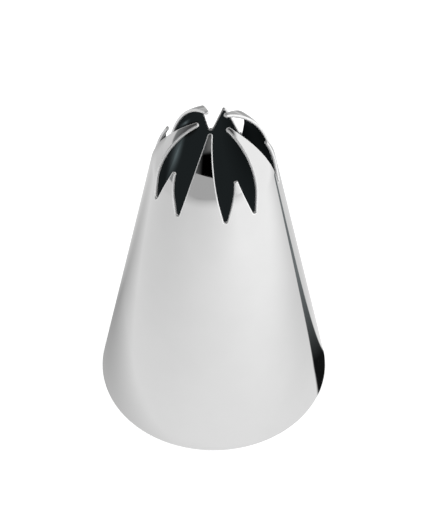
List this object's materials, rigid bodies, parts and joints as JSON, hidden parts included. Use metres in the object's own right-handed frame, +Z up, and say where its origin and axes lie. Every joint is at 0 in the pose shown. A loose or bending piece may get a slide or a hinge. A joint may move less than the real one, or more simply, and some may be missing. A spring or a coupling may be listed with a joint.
{
  "type": "piping nozzle",
  "caption": "Closed-star piping nozzle: an open steel cone with its narrow end cut into teeth that are pressed inwards, to shape icing squeezed from a pastry bag.",
  "frame": {"origin": "centre of the wide rim, on the surface that the nozzle stands on", "axes": "+Z up along the cone's axis, from the wide rim towards the teeth; a long tooth is centred on -Y"},
  "size_m": [0.03, 0.03, 0.0472],
  "materials": {
    "polished_steel": "mirror-polished stainless steel sheet, with cut edges rounded by tumbling"
  },
  "bodies": {
    "root": {"nozzle": "polished_steel"}
  },
  "joints": []
}
